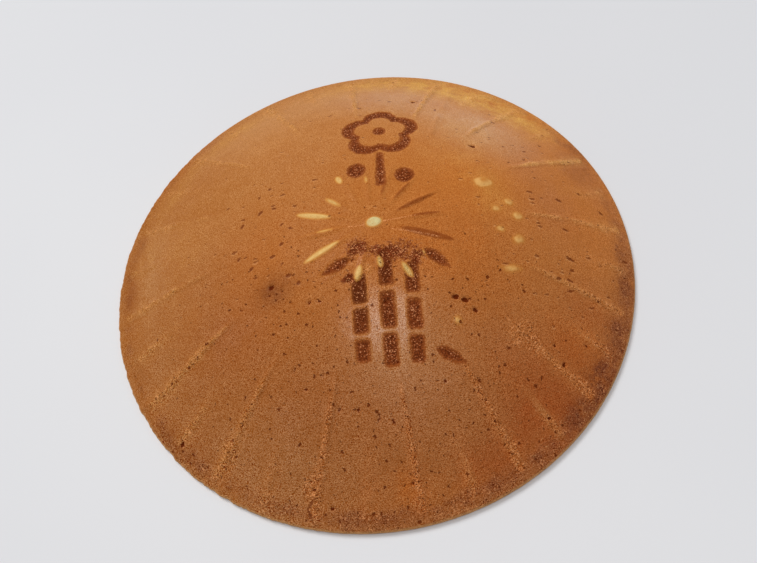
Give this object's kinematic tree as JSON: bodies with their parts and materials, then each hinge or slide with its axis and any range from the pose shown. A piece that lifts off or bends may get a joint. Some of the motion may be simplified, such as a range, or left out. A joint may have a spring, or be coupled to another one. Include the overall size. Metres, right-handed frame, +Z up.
{
  "type": "senbei cracker",
  "caption": "Thin domed senbei cracker shaped like a wide hat, with raised spokes towards the rim, a rosette round the crown, two pressed plant marks and a hollow underside.",
  "frame": {"origin": "middle of the round outline, on the plane of the rim that the cracker rests on", "axes": "+Z up through the dome, +Y towards the upper pressed mark along a long spoke, +X to its right"},
  "size_m": [0.15, 0.1498, 0.0296],
  "materials": {
    "toasted_crust": "dry baked crust, caramel brown, satin"
  },
  "bodies": {
    "root": {"cracker": "toasted_crust"}
  },
  "joints": []
}
